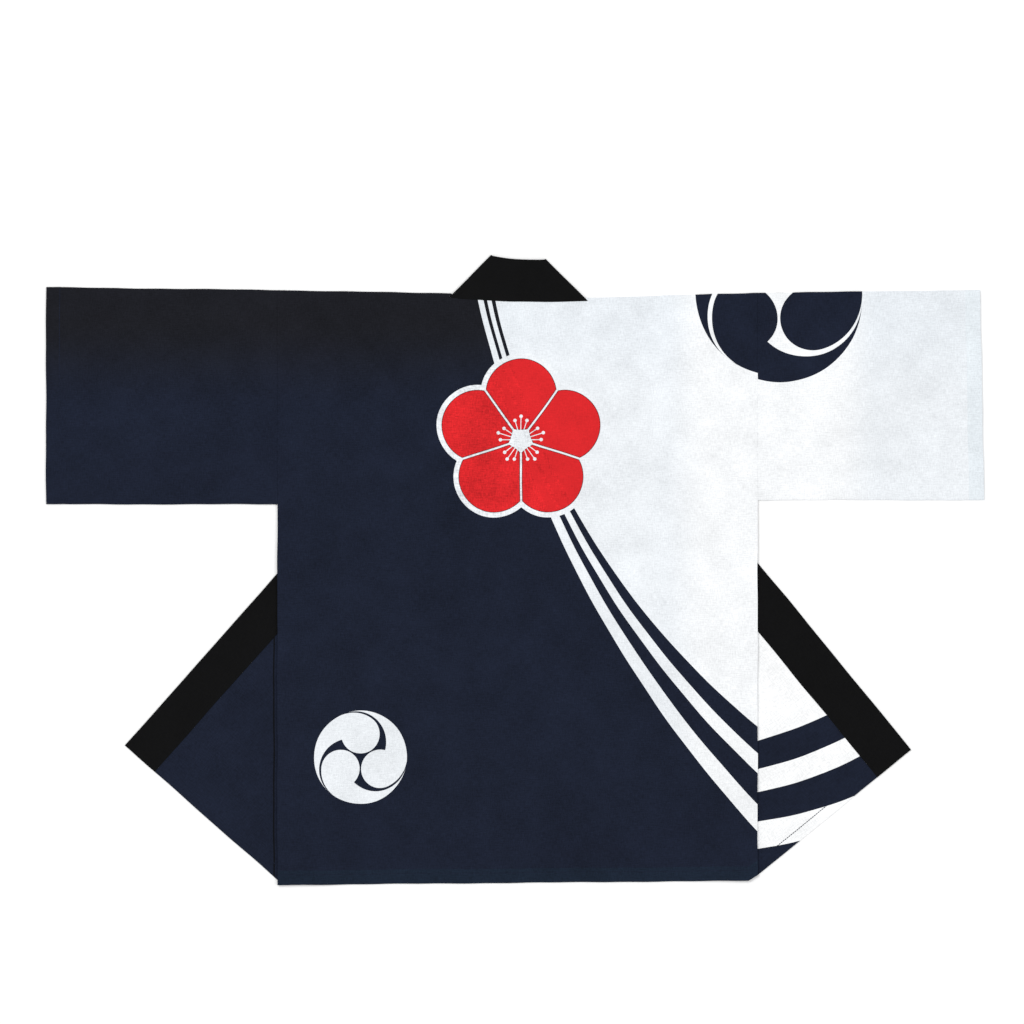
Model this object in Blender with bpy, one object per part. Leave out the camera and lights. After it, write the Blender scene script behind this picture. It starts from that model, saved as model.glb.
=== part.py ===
"""A happi coat laid flat on its face, with both fronts turned outwards from beneath the back.

Lengths are in metres. Until the end, x runs to the wearer's right from the centre back and y runs up
from the base of the neck, as the coat is seen from above. At the end the whole coat is moved so that
its origin is under the middle of its outline.

The coat is sewn from four cut pieces. The body is one length of cloth that makes the back and both
fronts, with no seam on the shoulders. Each sleeve is a rectangle folded at the shoulder line, and the
collar is a doubled strip. Each piece is folded as the real one lies: flat leaves of cloth lie on each
other and turn over at straight bends.
"""

import math
from dataclasses import dataclass

import bmesh
import bpy
import numpy as np

# Cloth
CLOTH = 0.001
COLLAR_CLOTH = 0.0016
SEAM_GAP = 0.0003
LAYER_GAP = 0.0004

# The cut of the coat
BODY_HALF_WIDTH = 0.336
NECK_COLLAR_WIDTH = 0.058
NECKLINE_DIP = 0.0038
COLLAR_TOP_DIP = 0.0023
COLLAR_KNEE_DEPTH = 0.110
NECK_POINT_CLEARANCE = 0.0055
MITRE_CLEARANCE = 0.0025
SEAM_START_SHARE = 0.06
NECKLINE_POINTS = 9

# The back's hem is turned in across its right corner
HEM_CORNER_CUT = (0.013, 0.008)

# How the layers settle: a leaf comes down over this width beside what it lies on
DROP_WIDTH = 0.110
BEND_ROOM = 0.003

# Fineness of the solids
GRID = 0.030
GRID_SNAP = 0.0015
BEND_STEPS = 4
TOUCH = 1e-6


@dataclass(frozen=True)
class Side:
    """One side of the coat as it lies. Reaches are from the centre back, heights from the neck."""

    sign: int
    shoulder_height: tuple  # of the shoulder fold beside the neck, at the armhole and at the cuff
    cuff_reach: tuple  # of the cuff at the shoulder fold and at the sleeve's lower edge
    sleeve_drop: float  # height of the sleeve's lower edge
    hem_height: float  # height of the corner where side and hem meet
    front_width: float  # of the front with its collar, along the hem
    turn_angle: float  # between the hem and the line on which the front is turned outwards
    edge_lean: float  # of the front edge towards the centre, as it goes up
    front_collar_width: float
    collar_corner: float  # reach of the collar's free edge where it turns round the neck
    neckline_height: float  # of the neckline's end

    def place(self, reach, height):
        return np.array((self.sign * reach, height))


LEFT = Side(
    sign=-1,
    shoulder_height=(0.0056, 0.0112, 0.0150),
    cuff_reach=(0.6600, 0.6600),
    sleeve_drop=-0.2880,
    hem_height=-0.8220,
    front_width=0.2855,
    turn_angle=math.radians(69.1),
    edge_lean=math.radians(0.87),
    front_collar_width=0.0555,
    collar_corner=0.0370,
    neckline_height=0.0008,
)
RIGHT = Side(
    sign=1,
    shoulder_height=(-0.0007, 0.0070, 0.0112),
    cuff_reach=(0.6475, 0.6530),
    sleeve_drop=-0.2820,
    hem_height=-0.8080,
    front_width=0.2784,
    turn_angle=math.radians(70.15),
    edge_lean=math.radians(-0.35),
    front_collar_width=0.0610,
    collar_corner=0.0390,
    neckline_height=-0.0045,
)


@dataclass(frozen=True)
class Leaf:
    """A flat stretch of cloth between bends, with its outline and its place in the pile."""

    outline: np.ndarray
    level: int
    thickness: float
    right_side_up: bool


@dataclass(frozen=True)
class Bend:
    """A straight line on which cloth turns over from an upper leaf to a lower one."""

    upper: str
    lower: str
    start: np.ndarray
    end: np.ndarray


def neckline_height(x):
    """Height of the back neckline: a line between its ends with a shallow dip."""
    left_end, right_end = neckline_end(LEFT)[0], neckline_end(RIGHT)[0]
    share = (x - left_end) / (right_end - left_end)
    level = LEFT.neckline_height + share * (RIGHT.neckline_height - LEFT.neckline_height)
    return level - NECKLINE_DIP * (1 - (2 * share - 1) ** 2)


def neckline_end(side):
    """Where the back neckline meets the side of the neck, just clear of the collar's mitre."""
    reach = side.collar_corner + NECK_COLLAR_WIDTH + MITRE_CLEARANCE
    return side.place(reach, side.neckline_height)


def neck_point(side):
    """The inner end of the shoulder fold."""
    reach = side.collar_corner + NECK_COLLAR_WIDTH + NECK_POINT_CLEARANCE
    return side.place(reach, side.shoulder_height[0])


def mitre(side):
    """The collar's 45 degree turn round the neck: its ends on the seam and on the free edge."""
    reach = side.collar_corner + NECK_COLLAR_WIDTH
    height = neckline_height(side.sign * reach) + SEAM_GAP
    return side.place(reach, height), side.place(side.collar_corner, height + NECK_COLLAR_WIDTH)


def armhole_top(side):
    return side.place(BODY_HALF_WIDTH, side.shoulder_height[1])


def hem_corner(side):
    return side.place(BODY_HALF_WIDTH, side.hem_height)


def front_line(side, inset, height):
    """A point of the line that runs along the front at a distance from its free edge."""
    rise = height - side.hem_height
    reach = BODY_HALF_WIDTH - side.front_width + inset - rise * math.tan(side.edge_lean)
    return side.place(reach, height)


def turn_direction(side):
    """The direction, upwards, of the line on which the front is turned outwards."""
    return side.place(-math.cos(side.turn_angle), math.sin(side.turn_angle))


def turn_crossing(side, inset):
    """Where that line crosses the line at a distance from the front's free edge."""
    width = side.front_width - inset
    rise = width / (1 / math.tan(side.turn_angle) - math.tan(side.edge_lean))
    return hem_corner(side) + turn_direction(side) * (rise / math.sin(side.turn_angle))


def turned(side, points):
    """Points of a front after it is turned outwards: mirrored in the turning line."""
    along = turn_direction(side)
    gap = np.array(points) - hem_corner(side)
    return hem_corner(side) + 2 * np.outer(gap @ along, along) - gap


def back_leaf():
    """The back, from hem to shoulders, round the neckline."""
    cut_in, cut_up = HEM_CORNER_CUT
    xs = np.linspace(neckline_end(RIGHT)[0], neckline_end(LEFT)[0], NECKLINE_POINTS)
    neckline = [(x, neckline_height(x)) for x in xs]
    outline = [
        hem_corner(LEFT),
        hem_corner(RIGHT) - (cut_in, cut_up),
        hem_corner(RIGHT),
        armhole_top(RIGHT),
        neck_point(RIGHT),
        *neckline,
        neck_point(LEFT),
        armhole_top(LEFT),
    ]
    return Leaf(np.array(outline), 3, CLOTH, True)


def front_leaves(side):
    """A front: the part still under the back, and the part turned outwards beneath it."""
    inset = side.front_collar_width + SEAM_GAP
    crossing = turn_crossing(side, inset)
    knee = front_line(side, inset, -COLLAR_KNEE_DEPTH)
    seam_end = mitre(side)[0] + side.place(SEAM_GAP, 0)
    seam_top = seam_end + (knee - seam_end) * SEAM_START_SHARE
    kept = [hem_corner(side), armhole_top(side), neck_point(side), seam_top, knee, crossing]
    turned_out = [hem_corner(side), front_line(side, inset, side.hem_height), crossing]
    return {
        "front": Leaf(np.array(kept), 2, CLOTH, False),
        "turned": Leaf(turned(side, turned_out), 1, CLOTH, True),
    }


def collar_leaves(side):
    """The collar on a front: the part under the back, and the part turned outwards."""
    seam_end, corner = mitre(side)
    width = side.front_collar_width
    on_seam, on_edge = turn_crossing(side, width), turn_crossing(side, 0)
    knee = front_line(side, width, -COLLAR_KNEE_DEPTH)
    kept = [seam_end, corner, on_edge, on_seam, knee]
    hem_edge = front_line(side, 0, side.hem_height)
    hem_seam = front_line(side, width, side.hem_height)
    return {
        "front": Leaf(np.array(kept), 2, COLLAR_CLOTH, False),
        "turned": Leaf(turned(side, [on_seam, on_edge, hem_edge, hem_seam]), 1, COLLAR_CLOTH, True),
    }


def collar_back_leaf():
    """The collar behind the neck, which lies beyond the shoulder line."""
    (left_seam, left_corner), (right_seam, right_corner) = mitre(LEFT), mitre(RIGHT)
    share = np.linspace(0, 1, NECKLINE_POINTS)
    xs = left_seam[0] + share * (right_seam[0] - left_seam[0])
    seam = np.column_stack((xs, neckline_height(xs) + SEAM_GAP))
    top = right_corner + share[:, None] * (left_corner - right_corner)
    top[:, 1] -= COLLAR_TOP_DIP * (1 - (2 * share - 1) ** 2)
    return Leaf(np.concatenate((seam, top)), 3, COLLAR_CLOTH, True)


def sleeve_outline(side):
    inner = BODY_HALF_WIDTH + SEAM_GAP
    cuff_top, cuff_foot = side.cuff_reach
    return np.array(
        [
            side.place(inner, side.shoulder_height[1]),
            side.place(inner, side.sleeve_drop),
            side.place(cuff_foot, side.sleeve_drop),
            side.place(cuff_top, side.shoulder_height[2]),
        ]
    )


def body_piece():
    leaves = {"back": back_leaf()}
    bends = []
    for name, side in (("left", LEFT), ("right", RIGHT)):
        parts = front_leaves(side)
        leaves[f"front {name}"] = parts["front"]
        leaves[f"turned {name}"] = parts["turned"]
        crossing = turn_crossing(side, side.front_collar_width + SEAM_GAP)
        bends.append(Bend("back", f"front {name}", neck_point(side), armhole_top(side)))
        bends.append(Bend(f"front {name}", f"turned {name}", hem_corner(side), crossing))
    return leaves, bends


def collar_piece():
    leaves = {"back": collar_back_leaf()}
    bends = []
    for name, side in (("left", LEFT), ("right", RIGHT)):
        parts = collar_leaves(side)
        leaves[f"front {name}"] = parts["front"]
        leaves[f"turned {name}"] = parts["turned"]
        on_seam = turn_crossing(side, side.front_collar_width)
        on_edge = turn_crossing(side, 0)
        bends.append(Bend("back", f"front {name}", *mitre(side)))
        bends.append(Bend(f"front {name}", f"turned {name}", on_seam, on_edge))
    return leaves, bends


def sleeve_piece(side):
    outline = sleeve_outline(side)
    leaves = {"upper": Leaf(outline, 3, CLOTH, True), "lower": Leaf(outline, 2, CLOTH, False)}
    shoulder = Bend("upper", "lower", outline[0], outline[3])
    under_arm = Bend("upper", "lower", outline[1], outline[2])
    return leaves, [shoulder, under_arm]


def distance_from(points, outline):
    """How far each point lies outside a closed outline, and 0 for a point inside it."""
    step = np.roll(outline, -1, axis=0) - outline
    gap = points[:, None] - outline
    along = np.clip((gap * step).sum(2) / (step**2).sum(1), 0, 1)
    nearest = np.linalg.norm(gap - along[..., None] * step, axis=2).min(1)
    side_of = step[:, 0] * gap[..., 1] - step[:, 1] * gap[..., 0]
    starts_below = gap[..., 1] >= 0
    ends_below = np.roll(starts_below, -1, axis=1)
    upward = starts_below & ~ends_below & (side_of > 0)
    downward = ~starts_below & ends_below & (side_of < 0)
    inside = upward.sum(1) != downward.sum(1)
    return np.where(inside, 0, nearest)


def covered(points, outline):
    """1 on an outline and just beside it, falling smoothly to 0 over the drop width."""
    share = np.clip((distance_from(points, outline) - BEND_ROOM) / DROP_WIDTH, 0, 1)
    return 1 - share**2 * (3 - 2 * share)


def pile_height(points, level, all_leaves):
    """Height to which the leaves under a level lift it at each point."""
    height = np.zeros(len(points))
    for below in range(1, level):
        lifts = [
            (leaf.thickness + LAYER_GAP) * covered(points, leaf.outline)
            for leaf in all_leaves
            if leaf.level == below
        ]
        height += np.max(lifts, axis=0)
    return height


def triangulated(outline):
    """A leaf split along a square grid: its points in the plane, and its triangles."""
    mesh = bmesh.new()
    mesh.faces.new([mesh.verts.new((x, y, 0)) for x, y in outline])
    for axis in (0, 1):
        first = math.ceil(outline[:, axis].min() / GRID)
        last = math.floor(outline[:, axis].max() / GRID)
        across = np.eye(3)[axis]
        for line in range(first, last + 1):
            bmesh.ops.bisect_plane(
                mesh,
                geom=mesh.verts[:] + mesh.edges[:] + mesh.faces[:],
                dist=GRID_SNAP,
                plane_co=across * line * GRID,
                plane_no=across,
            )
    bmesh.ops.triangulate(mesh, faces=mesh.faces[:])
    mesh.verts.index_update()
    points = np.array([vert.co[:2] for vert in mesh.verts])
    faces = [[vert.index for vert in face.verts] for face in mesh.faces]
    mesh.free()
    return points, faces


def on_line(points, start, end):
    """Indices of the points that lie on a straight line, in order from its start."""
    length = np.linalg.norm(end - start)
    along = (end - start) / length
    gap = points - start
    distance = gap @ along
    aside = np.abs(gap[:, 0] * along[1] - gap[:, 1] * along[0])
    found = np.flatnonzero((aside < TOUCH) & (distance > -TOUCH) & (distance < length + TOUCH))
    return found[np.argsort(distance[found])]


def fold(leaves, bends, all_leaves):
    """Both sides of a folded piece as arrays of points that match, and the triangles of one side."""
    right, wrong, faces, plans, starts = [], [], [], {}, {}
    count = 0
    for name, leaf in leaves.items():
        plan, triangles = triangulated(leaf.outline)
        under = pile_height(plan, leaf.level, all_leaves)
        bottom = np.column_stack((plan, under))
        top = np.column_stack((plan, under + leaf.thickness))
        right.append(top if leaf.right_side_up else bottom)
        wrong.append(bottom if leaf.right_side_up else top)
        faces += [[count + i for i in triangle] for triangle in triangles]
        plans[name], starts[name] = plan, count
        count += len(plan)
    for bend in bends:
        upper, lower = leaves[bend.upper], leaves[bend.lower]
        upper_ids = on_line(plans[bend.upper], bend.start, bend.end)
        lower_ids = on_line(plans[bend.lower], bend.start, bend.end)
        base = plans[bend.upper][upper_ids]
        high = pile_height(base, upper.level, all_leaves)
        low = pile_height(base, lower.level, all_leaves)
        middle, radius = (high + low + upper.thickness) / 2, (high - low) / 2
        along = bend.end - bend.start
        outward = np.array((along[1], -along[0])) / np.linalg.norm(along)
        if (upper.outline.mean(0) - bend.start) @ outward > 0:
            outward = -outward
        columns = [starts[bend.upper] + upper_ids]
        for step in range(1, BEND_STEPS):
            angle = math.pi * step / BEND_STEPS
            rims = []
            for rim in (radius + upper.thickness / 2, radius - upper.thickness / 2):
                plan = base + np.outer(rim * math.sin(angle), outward)
                rims.append(np.column_stack((plan, middle + rim * math.cos(angle))))
            outer, inner = rims
            right.append(outer if upper.right_side_up else inner)
            wrong.append(inner if upper.right_side_up else outer)
            columns.append(count + np.arange(len(base)))
            count += len(base)
        columns.append(starts[bend.lower] + lower_ids)
        for one, other in zip(columns, columns[1:]):
            for i in range(len(base) - 1):
                faces.append([one[i], one[i + 1], other[i + 1]])
                faces.append([one[i], other[i + 1], other[i]])
    return np.concatenate(right), np.concatenate(wrong), np.array(faces)


def shell(name, right, wrong, faces, material):
    """One closed wall of cloth from its two sides, closed round every free edge."""
    edges = np.sort(faces[:, [0, 1, 1, 2, 2, 0]].reshape(-1, 2), axis=1)
    edges, uses = np.unique(edges, axis=0, return_counts=True)
    free = edges[uses == 1]
    other_side = len(right)
    rims = np.column_stack((free, free[:, ::-1] + other_side))
    mesh = bmesh.new()
    verts = [mesh.verts.new(point) for point in np.concatenate((right, wrong))]
    for face in [*faces, *(faces + other_side), *rims]:
        mesh.faces.new([verts[i] for i in face])
    bmesh.ops.triangulate(mesh, faces=mesh.faces[:])
    bmesh.ops.recalc_face_normals(mesh, faces=mesh.faces[:])
    data = bpy.data.meshes.new(name)
    mesh.to_mesh(data)
    mesh.free()
    data.materials.append(material)
    made = bpy.data.objects.new(name, data)
    bpy.context.scene.collection.objects.link(made)
    return made


def cotton(name, colour):
    """Plain woven cotton, dyed or printed all over in one colour."""
    material = bpy.data.materials.new(name)
    material.use_nodes = True
    shader = material.node_tree.nodes["Principled BSDF"]
    shader.inputs["Base Color"].default_value = (*colour, 1)
    shader.inputs["Roughness"].default_value = 0.85
    shader.inputs["Metallic"].default_value = 0
    return material


def main():
    for item in list(bpy.data.objects):
        bpy.data.objects.remove(item, do_unlink=True)
    navy = cotton("navy_cotton", (0.016, 0.020, 0.036))
    pieces = {
        "body": (body_piece(), navy),
        "sleeve_left": (sleeve_piece(LEFT), navy),
        "sleeve_right": (sleeve_piece(RIGHT), cotton("white_cotton", (0.84, 0.88, 0.91))),
        "collar": (collar_piece(), cotton("black_cotton", (0.010, 0.010, 0.011))),
    }
    all_leaves = [leaf for (leaves, _), _ in pieces.values() for leaf in leaves.values()]
    folded = {name: fold(*piece, all_leaves) for name, (piece, _) in pieces.items()}
    points = np.concatenate([side for right, wrong, _ in folded.values() for side in (right, wrong)])
    centre = (points.min(0) + points.max(0)) / 2 * (1, 1, 0)
    for name, (right, wrong, faces) in folded.items():
        shell(name, right - centre, wrong - centre, faces, pieces[name][1])


main()
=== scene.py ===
"""A happi coat laid flat on its face, seen from straight above.

Lengths are in metres. Until a piece is put in place, x runs to the right from the centre back and y
runs up from the base of the neck. The coat is sewn from four cut pieces, and each is one thin shell
that is folded as the real piece lies. A leaf is a flat stretch of cloth between two lines, and a bend
is the half round on which one leaf turns over into the next. Every point also keeps its place in the
flat cut and its distance from the hem or cuff, from which the materials work out the print, the weave
and the stitches.
"""

import math
from dataclasses import dataclass

import bmesh
import bpy
import numpy as np
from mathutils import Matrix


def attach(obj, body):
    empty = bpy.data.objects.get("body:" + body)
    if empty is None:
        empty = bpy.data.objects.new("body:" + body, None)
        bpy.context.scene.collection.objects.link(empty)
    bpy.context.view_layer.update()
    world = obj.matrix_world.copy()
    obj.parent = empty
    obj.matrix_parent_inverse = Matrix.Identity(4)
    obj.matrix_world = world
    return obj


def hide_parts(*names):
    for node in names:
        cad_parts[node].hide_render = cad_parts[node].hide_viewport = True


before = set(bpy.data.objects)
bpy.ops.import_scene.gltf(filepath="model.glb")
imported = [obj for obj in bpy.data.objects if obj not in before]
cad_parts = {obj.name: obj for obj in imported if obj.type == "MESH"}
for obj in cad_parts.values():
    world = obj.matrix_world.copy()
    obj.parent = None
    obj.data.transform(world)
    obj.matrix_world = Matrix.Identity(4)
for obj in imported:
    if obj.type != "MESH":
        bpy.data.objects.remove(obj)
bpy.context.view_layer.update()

# Thickness of the cloth as it shows, and of its layers in the solids
CLOTH = 0.0008
COLLAR = 0.0014
SOLID_CLOTH = 0.001
SOLID_COLLAR = 0.0016
LAYER_GAP = 0.0004
BEND_LENGTH = math.pi * (SOLID_CLOTH + LAYER_GAP) / 2

# How the layers settle beside what they lie on, and what a sewn seam leaves open
DROP_WIDTH = 0.110
BEND_ROOM = 0.003
SEAM = 0.00005

# The cut of the coat
BODY_HALF_WIDTH = 0.336
NECK_COLLAR_WIDTH = 0.058
NECKLINE_DIP = 0.0038
COLLAR_TOP_DIP = 0.0023
COLLAR_KNEE_DEPTH = 0.110
MITRE_CLEARANCE = 0.0025
SEAM_START_SHARE = 0.06
HEM_CORNER_CUT = (0.013, 0.008)

# Turned-in cloth: its width, how far it raises what lies over it, and half the width of its step
HEM = 0.020
CUFF_HEM = 0.021
ALLOWANCE = 0.0122
HEM_RAISE = 0.00035
ALLOWANCE_RAISE = 0.0002
STEP = 0.0008

# Fineness of the shells: spacing, steps round a bend, the distance at which points are joined, and
# steps as shares of the way across a turned leaf, across the collar, along it behind the neck, and up
# the strips beside the neck
SPACING = 0.006
BEND_STEPS = 6
TOUCH = 2e-6
TURNED_SHARE = 0.025
COLLAR_SHARE = 0.1
COLLAR_BACK_SHARE = 0.03
NECK_STRIP_SHARE = 0.5

# How the cut edges are rounded: by this share of the thickness, where faces turn by more than this
EDGE_ROUNDING = 0.3
EDGE_SEGMENTS = 2
EDGE_ANGLE = math.radians(55)

# The photograph: its scale, and the pixel where the centre back meets the base of the neck
PIXEL = 0.0014
NECK_BASE = (517.5, 298)


@dataclass(frozen=True)
class Side:
    """One side of the coat as it lies. Reaches are from the centre back, heights from the neck."""

    sign: int
    shoulder_height: tuple  # of the shoulder fold beside the neck, at the armhole and at the cuff
    cuff_reach: tuple  # of the cuff at the shoulder fold and at the sleeve's lower edge
    sleeve_drop: float
    hem_height: float
    front_rise: float  # of the front's hem above the back's at the side
    front_width: float  # with the collar, along the hem
    turn_angle: float  # between the hem and the line on which the front is turned outwards
    edge_lean: float
    front_collar_width: float
    collar_corner: float  # reach of the collar's free edge where it turns round the neck
    neckline_height: float

    def place(self, reach, height):
        return np.array((self.sign * reach, height))


LEFT = Side(
    sign=-1,
    shoulder_height=(0.0050, 0.0098, 0.0138),
    cuff_reach=(0.6600, 0.6600),
    sleeve_drop=-0.2880,
    hem_height=-0.8220,
    front_rise=0.0052,
    front_width=0.2892,
    turn_angle=math.radians(69.3),
    edge_lean=math.radians(-0.1),
    front_collar_width=0.0555,
    collar_corner=0.0358,
    neckline_height=0.0008,
)
RIGHT = Side(
    sign=1,
    shoulder_height=(-0.0015, 0.0060, 0.0096),
    cuff_reach=(0.6475, 0.6530),
    sleeve_drop=-0.2820,
    hem_height=-0.8080,
    front_rise=0.0,
    front_width=0.2774,
    turn_angle=math.radians(70.42),
    edge_lean=math.radians(-0.15),
    front_collar_width=0.0610,
    collar_corner=0.0380,
    neckline_height=-0.0045,
)


# Named points and lines of the cut
def photo_point(px, py):
    """A pixel of the photograph as a place on the coat."""
    return ((px - NECK_BASE[0]) * PIXEL, (NECK_BASE[1] - py) * PIXEL)


def neckline_end(side):
    """Where the back neckline meets the shoulder, just past the collar's corner."""
    reach = side.collar_corner + NECK_COLLAR_WIDTH + MITRE_CLEARANCE
    return side.place(reach, side.neckline_height)


def neckline_height(x):
    """The back neckline: a straight line between its ends less dip (1 - (2 share - 1)^2)."""
    left_end, right_end = neckline_end(LEFT)[0], neckline_end(RIGHT)[0]
    share = (x - left_end) / (right_end - left_end)
    level = LEFT.neckline_height + share * (RIGHT.neckline_height - LEFT.neckline_height)
    return level - NECKLINE_DIP * (1 - (2 * share - 1) ** 2)


def neck_point(side):
    """Inner end of the shoulder fold, at 45 degrees from the neckline's end as the collar's turn is."""
    rise = side.shoulder_height[0] - side.neckline_height
    return neckline_end(side) + side.place(-rise, rise)


def mitre(side):
    """The collar's 45 degree turn round the neck: its ends on the seam and on the free edge."""
    reach = side.collar_corner + NECK_COLLAR_WIDTH
    height = neckline_height(side.sign * reach) + SEAM
    return side.place(reach, height), side.place(side.collar_corner, height + NECK_COLLAR_WIDTH)


def armhole_top(side):
    return side.place(BODY_HALF_WIDTH, side.shoulder_height[1])


def hem_corner(side):
    return side.place(BODY_HALF_WIDTH, side.hem_height)


def front_hem(side):
    """Height of a front's hem before it is turned outwards."""
    return side.hem_height + side.front_rise


def hem_height(x):
    """The back's hem: straight from corner to corner, but turned in across its right corner."""
    left, right = hem_corner(LEFT), hem_corner(RIGHT)
    cut = right - HEM_CORNER_CUT
    return np.interp(x, (left[0], cut[0], right[0]), (left[1], cut[1], right[1]))


def front_line(side, inset, height):
    """A point of the line along the front at a distance from its free edge."""
    rise = height - side.hem_height
    reach = BODY_HALF_WIDTH - side.front_width + inset - rise * math.tan(side.edge_lean)
    return side.place(reach, height)


def turn_direction(side):
    return side.place(-math.cos(side.turn_angle), math.sin(side.turn_angle))


def on_turning_line(side, rise):
    """The point of the turning line at a height above the hem."""
    return hem_corner(side) + turn_direction(side) * (rise / math.sin(side.turn_angle))


def turn_crossing(side, inset):
    """Where the turning line crosses the line at a distance from the front's free edge."""
    run = 1 / math.tan(side.turn_angle) - math.tan(side.edge_lean)
    return on_turning_line(side, (side.front_width - inset) / run)


def mirrored(points, start, along):
    """Points mirrored in a line: start + 2 ((p - start) . along) along - (p - start)."""
    gap = points - start
    return start + 2 * (gap @ along)[..., None] * along - gap


def turned(side, points):
    """Points of a front after it is turned outwards."""
    return mirrored(np.asarray(points), hem_corner(side), turn_direction(side))


def unfolded(side, points, start=None, end=None):
    """Points beneath a shoulder fold as they lie in the flat cut, beyond the fold and its bend."""
    start = armhole_top(side) if start is None else start
    end = neck_point(side) if end is None else end
    along = (end - start) / np.linalg.norm(end - start)
    return mirrored(np.asarray(points), start, along) + (0, BEND_LENGTH)


# Outlines of the leaves, for the height of the pile
def back_outline():
    corners = [
        hem_corner(LEFT),
        hem_corner(RIGHT) - HEM_CORNER_CUT,
        hem_corner(RIGHT),
        armhole_top(RIGHT),
        neck_point(RIGHT),
        neckline_end(RIGHT),
        neckline_end(LEFT),
        neck_point(LEFT),
        armhole_top(LEFT),
    ]
    return np.array(corners)


def front_corners(side):
    """The inner edge of a front: up the turning line, up the collar's seam and on to the fold."""
    inset = side.front_collar_width + SEAM
    knee = front_line(side, inset, -COLLAR_KNEE_DEPTH)
    seam_end = mitre(side)[0] + side.place(SEAM, 0)
    corners = [
        on_turning_line(side, side.front_rise),
        on_turning_line(side, side.front_rise + HEM - STEP),
        on_turning_line(side, side.front_rise + HEM + STEP),
        turn_crossing(side, inset),
        knee,
        seam_end + (knee - seam_end) * SEAM_START_SHARE,
        neckline_end(side),
        neck_point(side),
    ]
    return np.array(corners)


def front_outline(side):
    return np.concatenate((front_corners(side), [armhole_top(side)]))


def turned_front_outline(side):
    inset = side.front_collar_width + SEAM
    start = on_turning_line(side, side.front_rise)
    corners = [start, front_line(side, inset, front_hem(side)), turn_crossing(side, inset)]
    return turned(side, corners)


def collar_front_outline(side):
    seam_end, corner = mitre(side)
    width = side.front_collar_width
    knee = front_line(side, width, -COLLAR_KNEE_DEPTH)
    return np.array([seam_end, corner, turn_crossing(side, 0), turn_crossing(side, width), knee])


def collar_turned_outline(side):
    width = side.front_collar_width
    corners = [
        turn_crossing(side, width),
        turn_crossing(side, 0),
        front_line(side, 0, front_hem(side)),
        front_line(side, width, front_hem(side)),
    ]
    return turned(side, corners)


def sleeve_outline(side):
    inner = BODY_HALF_WIDTH + SEAM
    cuff_top, cuff_foot = side.cuff_reach
    corners = [
        side.place(inner, side.shoulder_height[1]),
        side.place(inner, side.sleeve_drop),
        side.place(cuff_foot, side.sleeve_drop),
        side.place(cuff_top, side.shoulder_height[2]),
    ]
    return np.array(corners)


# Height of the pile
UNDER_LEAVES = {
    1: [(turned_front_outline(s), SOLID_CLOTH) for s in (LEFT, RIGHT)]
    + [(collar_turned_outline(s), SOLID_COLLAR) for s in (LEFT, RIGHT)],
    2: [(front_outline(s), SOLID_CLOTH) for s in (LEFT, RIGHT)]
    + [(collar_front_outline(s), SOLID_COLLAR) for s in (LEFT, RIGHT)]
    + [(sleeve_outline(s), SOLID_CLOTH) for s in (LEFT, RIGHT)],
}


def distance_to_edges(points, outline):
    """Distance from each point to the nearest edge of a closed outline."""
    step = np.roll(outline, -1, axis=0) - outline
    gap = points[:, None] - outline
    along = np.clip((gap * step).sum(2) / (step**2).sum(1), 0, 1)
    return np.linalg.norm(gap - along[..., None] * step, axis=2).min(1)


def distance_outside(points, outline):
    """Distance to a closed outline, and 0 inside it, where the edges wind round a point."""
    step = np.roll(outline, -1, axis=0) - outline
    gap = points[:, None] - outline
    side_of = step[:, 0] * gap[..., 1] - step[:, 1] * gap[..., 0]
    starts_below = gap[..., 1] >= 0
    ends_below = np.roll(starts_below, -1, axis=1)
    upward = starts_below & ~ends_below & (side_of > 0)
    downward = ~starts_below & ends_below & (side_of < 0)
    inside = upward.sum(1) != downward.sum(1)
    return np.where(inside, 0, distance_to_edges(points, outline))


def eased(share):
    """0 to 1 as 3 s^2 - 2 s^3, held at both ends."""
    share = np.clip(share, 0, 1)
    return share**2 * (3 - 2 * share)


def pile_height(plan, level):
    """Sum over the levels below of the highest leaf there, eased down over the drop width."""
    points = plan.reshape(-1, 2)
    height = np.zeros(len(points))
    for below in range(1, level):
        lifts = [
            (thickness + LAYER_GAP)
            * (1 - eased((distance_outside(points, outline) - BEND_ROOM) / DROP_WIDTH))
            for outline, thickness in UNDER_LEAVES[below]
        ]
        height += np.max(lifts, axis=0)
    return height.reshape(plan.shape[:-1])


# Grids
def stations(*stops, spacing=SPACING):
    """Numbers from the first stop to the last, through every stop, about one spacing apart."""
    runs = [
        np.linspace(a, b, max(1, round(abs(b - a) / spacing)), endpoint=False)
        for a, b in zip(stops, stops[1:])
    ]
    return np.concatenate((*runs, [stops[-1]]))


def along_corners(corners):
    """Points along a broken line, through every corner, about one spacing apart."""
    runs = []
    for start, end in zip(corners, corners[1:]):
        count = max(1, round(math.dist(start, end) / SPACING))
        runs.append(start + (end - start) * np.linspace(0, 1, count, endpoint=False)[:, None])
    return np.concatenate((*runs, [corners[-1]]))


def ruled(near, far, shares):
    """Straight rows between matching points of two lines: (1 - share) near + share far."""
    shares = shares[None, :, None]
    return near[:, None] * (1 - shares) + far[:, None] * shares


def with_value(plan, value):
    """Each point of a plan with a third number: its height, or its distance from the hem."""
    return np.concatenate((plan, np.broadcast_to(value, plan.shape[:-1])[..., None]), axis=-1)


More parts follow.
